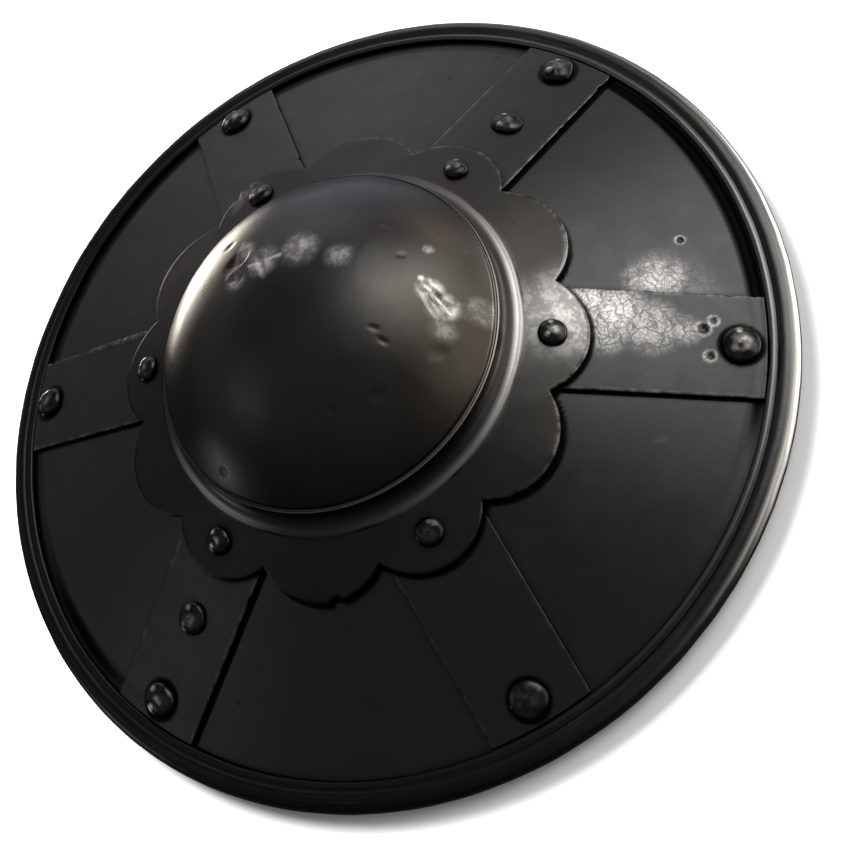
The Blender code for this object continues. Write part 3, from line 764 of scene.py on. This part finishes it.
def rim_piece(material):
    """A sheet tube closed round the disc's edge: a beaded lip, a shallow valley, then the roll."""
    flat = math.asin(ROLL_FLAT / 2 / ROLL_RADIUS)
    down = -math.pi / 2
    back = BACK_LIP - TURN
    bead = ((0.0, -0.6), (0.05, -0.1), (0.35, 0.25), (0.9, 0.46), (1.5, 0.5), (2.1, 0.42),
            (2.7, 0.12), (3.1, -0.12), (3.6, -0.1), (4.1, 0.15))
    outside = [(LIP_RADIUS + r * MM, LIP_HEIGHT + z * MM) for r, z in bead]
    outside += arc(ROLL_CENTRE, ROLL_RADIUS, LIP_START, down + flat, 30)
    outside += arc(ROLL_CENTRE, ROLL_RADIUS, down - flat, back, 10)
    inside = arc(ROLL_CENTRE, ROLL_RADIUS - ROLL_WALL, back, LIP_START, 16)
    inside += [(LIP_RADIUS + 2 * MM, LIP_HEIGHT - ROLL_WALL + 0.1 * MM),
               (LIP_RADIUS, LIP_HEIGHT - ROLL_WALL)]
    shape = spun(outside + inside, RIM_STEPS, closed=True)
    _, _, polish_and_sheen, _, painted_shade = wear(shape)
    for vert in shape.verts:
        radius = math.hypot(vert.co.x, vert.co.y)
        angle = math.atan2(vert.co.y, vert.co.x)
        # Painted sheen, strongest on one side of the rim
        worn = max(0.0, math.cos(angle - RIM_SHEEN_SIDE)) ** 1.5
        if vert.co.z > 2 * MM:
            push = abs(gently(vert.co, 16 * MM, 0.3 * MM))
            vert.co.x *= 1 - push / radius
            vert.co.y *= 1 - push / radius
        outer = eased(radius, ROLL_CENTRE[0] + 2.4 * MM, ROLL_CENTRE[0] + 4 * MM)
        crest = bowl(radius - ROLL_CENTRE[0] - 4.6 * MM, 1.3 * MM)
        on_top = vert.co.z > LIP_HEIGHT - 1 * MM
        bead_top = bowl(radius - LIP_RADIUS - 1.3 * MM, 1.8 * MM) * on_top
        # Painted highlights on the bead, the outer roll and its crest, towards the sheen side
        vert[polish_and_sheen] = max(0.22 * bead_top * (0.1 + 0.9 * worn), 0.4 * outer * worn, crest * worn)
        # Painted shade over the rim on its dark side, less on the crest
        low = eased(math.cos(angle - RIM_SHADE_SIDE), -0.8, 0.7)
        vert[painted_shade] = 0.7 * low * (1 - 0.6 * crest)
    return finish_piece("rim_skin", shape, material, ["rim_binding"], bevel=0.15 * MM)


# The rivets

# How hammering left a head: squareness, width for its length, turn in degrees, height
ROUND_HEAD = (2.0, 1.0, 0, 1.0)
HAMMERED_HEADS = {
    "rivet_rim_b": (2.9, 0.95, 25, 0.95), "rivet_rim_c": (2.3, 0.93, 60, 0.9),
    "rivet_rim_d": (2.4, 0.9, 10, 0.9), "rivet_rim_e": (2.2, 0.94, 80, 0.95),
    "rivet_rim_f": (2.1, 0.97, 40, 0.7),
    "rivet_grip_b": (2.1, 0.82, 100, 0.75), "rivet_grip_e": (2.3, 0.92, 30, 0.9),
    "rivet_petal_a": (2.1, 0.95, 0, 1.0), "rivet_petal_b": (2.6, 0.9, 50, 0.9),
}
# Painted glints on each head: bearing, share of the way out, reach and strength
HEAD_GLINTS = ((118, 0.66, 0.22, 1.0), (232, 0.5, 0.26, 0.8), (20, 0.15, 0.4, 0.3))
# The heads on the last strap get only faint painted glints
FAINT_GLINT_HEADS = 0.1


def rivet_piece(name, rivet, seat_height, slope, angle, grip, material, seed):
    """One rivet: a hammered button of a head, a shank and a peened end, spun and set in place."""
    head_radius, head_height, radius = rivet
    squareness, stretch, twist, tallness = HAMMERED_HEADS.get(name, ROUND_HEAD)
    burnish = FAINT_GLINT_HEADS if name.endswith("_f") else 1.0
    back = -grip - BACK_HEAD_GAP
    profile = [(0.0, SHEET_GAP + head_height * tallness)]
    for i in range(1, HEAD_ROWS + 1):
        lean = math.pi / 2 * i / HEAD_ROWS
        profile.append((head_radius * math.sin(lean) ** 0.9,
                        SHEET_GAP + head_height * tallness * math.cos(lean) ** 0.85))
    profile += [(head_radius * 0.95, 0.05 * MM), (SHANK_RADIUS, 0.05 * MM), (SHANK_RADIUS, back),
                (BACK_HEAD_RADIUS, back)]
    profile += [(BACK_HEAD_RADIUS * math.cos(a), back - BACK_HEAD_HEIGHT * math.sin(a))
                for a in (0.5, 0.9, 1.3)]
    profile += [(0.0, back - BACK_HEAD_HEIGHT)]
    shape = spun(profile, RIVET_STEPS)
    edge, _, polish_and_sheen, _, _ = wear(shape)
    for vert in shape.verts:
        reach = math.hypot(vert.co.x, vert.co.y)
        if vert.co.z > 0 and reach > 0:
            bearing = math.atan2(vert.co.y, vert.co.x) - math.radians(twist)
            share = min(1.0, reach / head_radius)
            corner = (abs(math.cos(bearing)) ** squareness + abs(math.sin(bearing)) ** squareness)
            fit = corner ** (-1 / squareness) / 2 ** (0.5 - 1 / squareness)
            fit *= 1 - (1 - stretch) * abs(math.sin(bearing)) ** 2
            vert.co.x *= 1 + (fit - 1) * share
            vert.co.y *= 1 + (fit - 1) * share
            knock = abs(noise.noise(vert.co / (4.5 * MM) + Vector((0, seed, 0))))
            vert.co.z -= knock * 0.8 * MM * (1 - 0.8 * share)
            vert[edge] = 0.12 * (1 - share)
            # Painted glints on the head's shoulder
            for glint_bearing, out, spread, strength in HEAD_GLINTS:
                swing = Matrix.Rotation(math.radians(glint_bearing) - angle + seed % 0.4, 2)
                off = (Vector(vert.co.xy) / head_radius - swing @ Vector((out, 0))).length
                highlight_share = burnish * strength * bowl(off, spread)
                vert[polish_and_sheen] = max(vert[polish_and_sheen], highlight_share)
    place = Vector((radius * math.cos(angle), radius * math.sin(angle), seat_height))
    stand = Matrix.Translation(place) @ Matrix.Rotation(angle, 4, "Z") @ Matrix.Rotation(slope, 4, "Y")
    bmesh.ops.transform(shape, matrix=stand, verts=shape.verts)
    return finish_piece(name + "_skin", shape, material, [name])


def rivet_pieces(material):
    stack = OVER_STRAP + DISC_WALL
    grip_stack = stack + GRIP_BAR_GAP + GRIP_BAR_WALL
    petal_seat = flange_top(PETAL_RIVET.reach)
    petal_stack = (petal_seat - over_disc(PETAL_RIVET.reach, -DISC_WALL)) * COS
    rim_seat = over_disc(RIM_RIVET.reach, OVER_STRAP)
    grip_seat = over_disc(GRIP_RIVET.reach, OVER_STRAP)
    for i, letter in enumerate(LETTERS):
        angle = strap_angle(letter)
        rivet_piece("rivet_petal_" + letter, PETAL_RIVET, petal_seat, FLANGE_ANGLE, angle,
                    petal_stack, material, i + 0.3)
        rivet_piece("rivet_rim_" + letter, RIM_RIVET, rim_seat, CONE_ANGLE, angle, stack, material,
                    i + 7.1)
        if letter in GRIP_LETTERS:
            rivet_piece("rivet_grip_" + letter, GRIP_RIVET, grip_seat, CONE_ANGLE, angle,
                        grip_stack, material, i + 13.7)


# The grip at the back

def grip_bar_piece(material):
    """A flat bar whose two ends are bent to the slope of the disc."""
    lift = -DISC_WALL - GRIP_BAR_GAP
    bend = GRIP_RIVET.reach - GRIP_TAB_REACH
    end = GRIP_RIVET.reach + GRIP_TAB_REACH
    top = over_disc(bend, lift)
    drop = top - over_disc(end, lift)
    shape = new_shape()
    bmesh.ops.create_cube(shape, size=1)
    long_edges = [e for e in shape.edges if abs(e.verts[0].co.y - e.verts[1].co.y) > 0.5]
    bmesh.ops.subdivide_edges(shape, edges=long_edges, cuts=39, use_grid_fill=True)
    edge = wear(shape)[0]
    for vert in shape.verts:
        along = vert.co.y * 2 * end
        past = max(0.0, (abs(along) - bend) / (end - bend))
        corner = max(0.0, abs(along) - end + 5 * MM) / (5 * MM)
        vert.co.x = vert.co.x * GRIP_BAR_WIDTH * (1 - 0.18 * corner ** 2)
        vert.co.y = along
        vert.co.z = top - past * drop - (0.0 if vert.co.z > 0 else GRIP_BAR_WALL)
        vert[edge] = 0.5
    sharp = [e for e in shape.edges if e.is_manifold and e.calc_face_angle() > 1.2]
    bmesh.ops.bevel(shape, geom=sharp, offset=0.5 * MM, offset_type="OFFSET", segments=2, profile=0.5,
                    affect="EDGES", material=-1, clamp_overlap=True)
    bmesh.ops.recalc_face_normals(shape, faces=shape.faces)
    return finish_piece("grip_bar_skin", shape, material, ["grip_bar"])


def grip_handle_piece(material):
    """An oval barrel of wood lying along the bar, its ends rounded over."""
    low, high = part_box("grip_handle")
    middle = (low + high) / 2
    half = (high - low) / 2
    rows = [(0.0, half.y)]
    for i in range(HANDLE_ROWS + 1):
        t = 1 - 2 * i / HANDLE_ROWS
        fullness = 0.82 + 0.18 * (1 - t ** 2)
        ease = min(1.0, (1 - abs(t)) * half.y / (2.2 * MM))
        rows.append((fullness * (0.9 + 0.1 * math.sqrt(1 - (1 - ease) ** 2)), half.y * t))
    rows.append((0.0, -half.y))
    shape = spun(rows, HANDLE_STEPS)
    for vert in shape.verts:
        x, y, z = vert.co
        vert.co = (middle.x + x * half.x, middle.y + z, middle.z + y * half.z)
    bmesh.ops.recalc_face_normals(shape, faces=shape.faces)
    return finish_piece("grip_handle_skin", shape, material, ["grip_handle"])


# The room

FLOOR_REACH = 4.0


def floor_piece():
    shape = bmesh.new()
    bmesh.ops.create_grid(shape, x_segments=1, y_segments=1, size=FLOOR_REACH)
    mesh = bpy.data.meshes.new("floor")
    shape.to_mesh(mesh)
    shape.free()
    floor = bpy.data.objects.new("floor", mesh)
    bpy.context.scene.collection.objects.link(floor)
    paper = bpy.data.materials.new("matt white paper")
    paper.use_nodes = True
    shader = paper.node_tree.nodes["Principled BSDF"]
    shader.inputs["Base Color"].default_value = linear("#f6f6f6")
    shader.inputs["Roughness"].default_value = 0.9
    shader.inputs["Specular IOR Level"].default_value = 0.0
    mesh.materials.append(paper)
    floor.visible_glossy = False


# Soft lights mirrored in the metal: bearing, height, reach aside and up in degrees, strength, colour
SKY_GLOWS = (
    ("key window", 83, 47, 40, 40, 4.0, "#ffffff"),
    ("upper back fill", 134, 24, 34, 24, 0.8, "#ffffff"),
    ("back wall", 150, 14, 52, 24, 0.74, "#faf8ff"),
    ("low back wall", 133, -10, 50, 32, 0.75, "#eeeeff"),
    ("left wall", 192, 18, 52, 26, 0.27, "#ffffff"),
    ("left spot", 228, 37, 26, 20, 0.5, "#ffffff"),
    ("right wall", 45, 18, 80, 44, 1.5, "#fffaf4"),
    ("low left card", 174, -30, 17, 22, 30.0, "#fff4e6"),
    ("low right card", 60, -26, 62, 34, 7.0, "#ffffff"),
    ("low left spot", 234, -1, 14, 14, 2.0, "#ffffff"),
    ("high fill", 102, 7, 27, 18, 1.5, "#fff0ea"),
)


def glow(tree, direction, azimuth, height, wide, high, strength, colour):
    """One soft oval of light in the sky."""
    a, e = math.radians(azimuth), math.radians(height)
    centre = (math.cos(a) * math.cos(e), math.sin(a) * math.cos(e), math.sin(e))
    spread = (1.0, math.sin(math.radians(wide)), math.sin(math.radians(high)))
    near = add(tree, "ShaderNodeMapping", {"Vector": direction, "Location": centre,
                                           "Rotation": (0, -e, a), "Scale": spread},
               vector_type="TEXTURE")
    oval = add(tree, "ShaderNodeTexGradient", {"Vector": near}, out="Fac", gradient_type="SPHERICAL")
    soft = add(tree, "ShaderNodeMapRange", {"Value": oval, "To Max": strength},
               interpolation_type="SMOOTHERSTEP")
    return add(tree, "ShaderNodeVectorMath", {0: linear(colour)[:3], "Scale": soft}, operation="SCALE")


def sky():
    """A dim studio round the shield, darker below the horizon, with soft lights in it."""
    world = bpy.data.worlds.new("studio")
    world.use_nodes = True
    tree = world.node_tree
    direction = add(tree, "ShaderNodeTexCoord", out="Generated")
    level = add(tree, "ShaderNodeSeparateXYZ", {"Vector": direction}, out="Z")
    base = add(tree, "ShaderNodeMapRange", {"Value": level, "From Min": 0.1, "From Max": 0.95,
                                            "To Min": 0.05, "To Max": 0.25})
    light = add(tree, "ShaderNodeCombineXYZ", {"X": base, "Y": base, "Z": base})
    for settings in SKY_GLOWS:
        one = glow(tree, direction, *settings[1:])
        light = add(tree, "ShaderNodeVectorMath", {0: light, 1: one}, operation="ADD")
    tree.links.new(light, tree.nodes["Background"].inputs["Color"])
    bpy.context.scene.world = world


def softbox(name, azimuth, elevation, distance, size, power):
    """A square lamp at a bearing from the shield's middle, turned to face it, unseen in the metal."""
    lamp = bpy.data.lights.new(name, "AREA")
    lamp.size = size
    lamp.energy = power
    item = bpy.data.objects.new(name, lamp)
    bpy.context.scene.collection.objects.link(item)
    a, e = math.radians(azimuth), math.radians(elevation)
    place = Vector((math.cos(a) * math.cos(e), math.sin(a) * math.cos(e), math.sin(e))) * distance
    item.location = place
    item.rotation_euler = (place * -1).to_track_quat("-Z", "Y").to_euler()
    item.visible_glossy = False


def camera():
    """The photograph looks down on the shield from a little in front of it."""
    lens = bpy.data.cameras.new("camera")
    lens.lens = 64.73
    lens.sensor_width = 36
    lens.clip_end = 20
    item = bpy.data.objects.new("camera", lens)
    bpy.context.scene.collection.objects.link(item)
    place = (0.3332, -0.07955, 0.5418)
    swing, tilt, roll = math.radians(76.11), math.radians(30.22), math.radians(-45.96)
    item.matrix_world = (Matrix.Translation(place) @ Matrix.Rotation(swing, 4, "Z")
                         @ Matrix.Rotation(tilt, 4, "X") @ Matrix.Rotation(roll, 4, "Z"))
    bpy.context.scene.camera = item


def main():
    bpy.context.scene.view_settings.view_transform = "Standard"
    sheet = blackened_steel("blackened sheet steel",
                            Look("#383838", "#3a3937", "#a8a5a1", 0.30, 46 * MM, 0.8, 0.45), strap_shadows=True)
    strap = blackened_steel("blackened strap steel",
                            Look("#383838", "#3b3937", "#bdbab5", 0.30, 36 * MM, 0.9, 0.5))
    raised = blackened_steel("blackened raised steel",
                             Look("#3b3a38", "#45413b", "#d2cfca", 0.30, 52 * MM, 0.0, 0.35))
    rim = blackened_steel("rim steel with painted sheen and shade",
                          Look("#3f3f3f", "#444341", "#cfccc8", 0.20, 40 * MM, 0.0, 1.0),
                          streaked=True)
    rivet = blackened_steel("burnished rivet steel",
                            Look("#2a2a2a", "#302e2c", "#d6d2cc", 0.12, 9 * MM, 0.0, 0.3))
    bar = blackened_steel("blackened bar steel",
                          Look("#383838", "#3b3937", "#8a8783", 0.40, 40 * MM, 0.0, 0.3))
    rim_piece(rim)
    disc_piece(sheet)
    for letter in LETTERS:
        strap_piece(letter, strap)
    boss_piece(raised)
    rivet_pieces(rivet)
    grip_bar_piece(bar)
    grip_handle_piece(oiled_ash())
    floor_piece()
    sky()
    softbox("overhead light", azimuth=168, elevation=36, distance=2.0, size=1.4, power=155)
    camera()


main()
